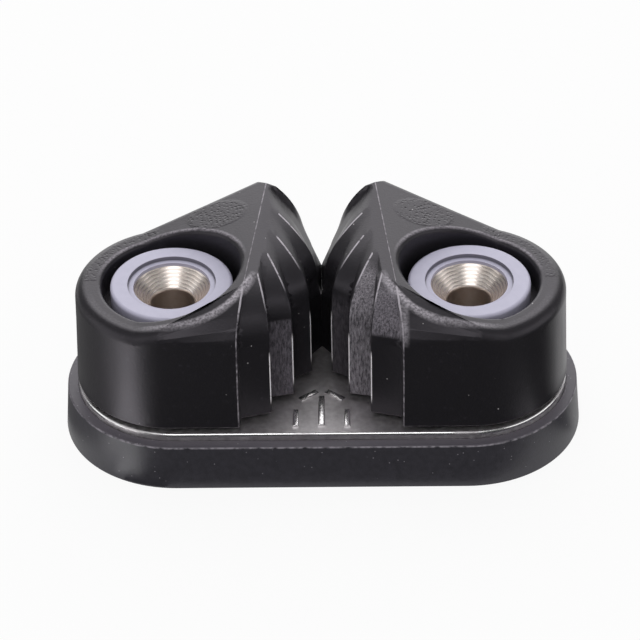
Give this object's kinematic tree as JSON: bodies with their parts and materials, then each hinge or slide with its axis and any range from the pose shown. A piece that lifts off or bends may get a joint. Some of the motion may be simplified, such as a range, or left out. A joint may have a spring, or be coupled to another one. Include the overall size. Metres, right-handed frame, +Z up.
{
  "type": "cam cleat",
  "caption": "Cam cleat with sprung toothed cams that pinch a rope between them, on a slot-shaped riser with a steel plate and countersunk screw holes.",
  "frame": {"origin": "centre of the riser's underside, midway between the screw holes", "axes": "+X from the left pivot to the right one, +Z up from the deck, and the load pulls the rope towards -Y"},
  "size_m": [0.0676, 0.0335, 0.0257],
  "materials": {
    "riser": "dark grey moulded plastic with a slight sheen",
    "plate": "polished stainless steel",
    "sleeve": "turned stainless steel",
    "bush": "pale lavender-grey moulded plastic",
    "washer": "off-white plastic",
    "spring": "stainless spring wire",
    "cam": "black moulded plastic with fine grain"
  },
  "bodies": {
    "base": {"base_riser": "riser", "base_plate": "plate", "sleeve_left": "sleeve", "sleeve_right": "sleeve", "bush_left": "bush", "bush_right": "bush", "thrust_washer_left": "washer", "thrust_washer_right": "washer", "spring_left": "spring", "spring_right": "spring"},
    "left_cam": {"cam_left": "cam"},
    "right_cam": {"cam_right": "cam"}
  },
  "joints": [
    {"name": "left_cam_hinge", "type": "hinge", "parent": "base", "child": "left_cam", "pos_m": [-0.019, 0, 0.015], "axis": [0, 0, 1], "range_deg": [0, 75], "stiffness_Nm_per_rad": 0.02, "springref_deg": -28.65, "deforming": ["spring_left"]},
    {"name": "right_cam_hinge", "type": "hinge", "parent": "base", "child": "right_cam", "pos_m": [0.019, 0, 0.015], "axis": [0, 0, -1], "range_deg": [0, 75], "stiffness_Nm_per_rad": 0.02, "springref_deg": -28.65, "deforming": ["spring_right"]}
  ]
}
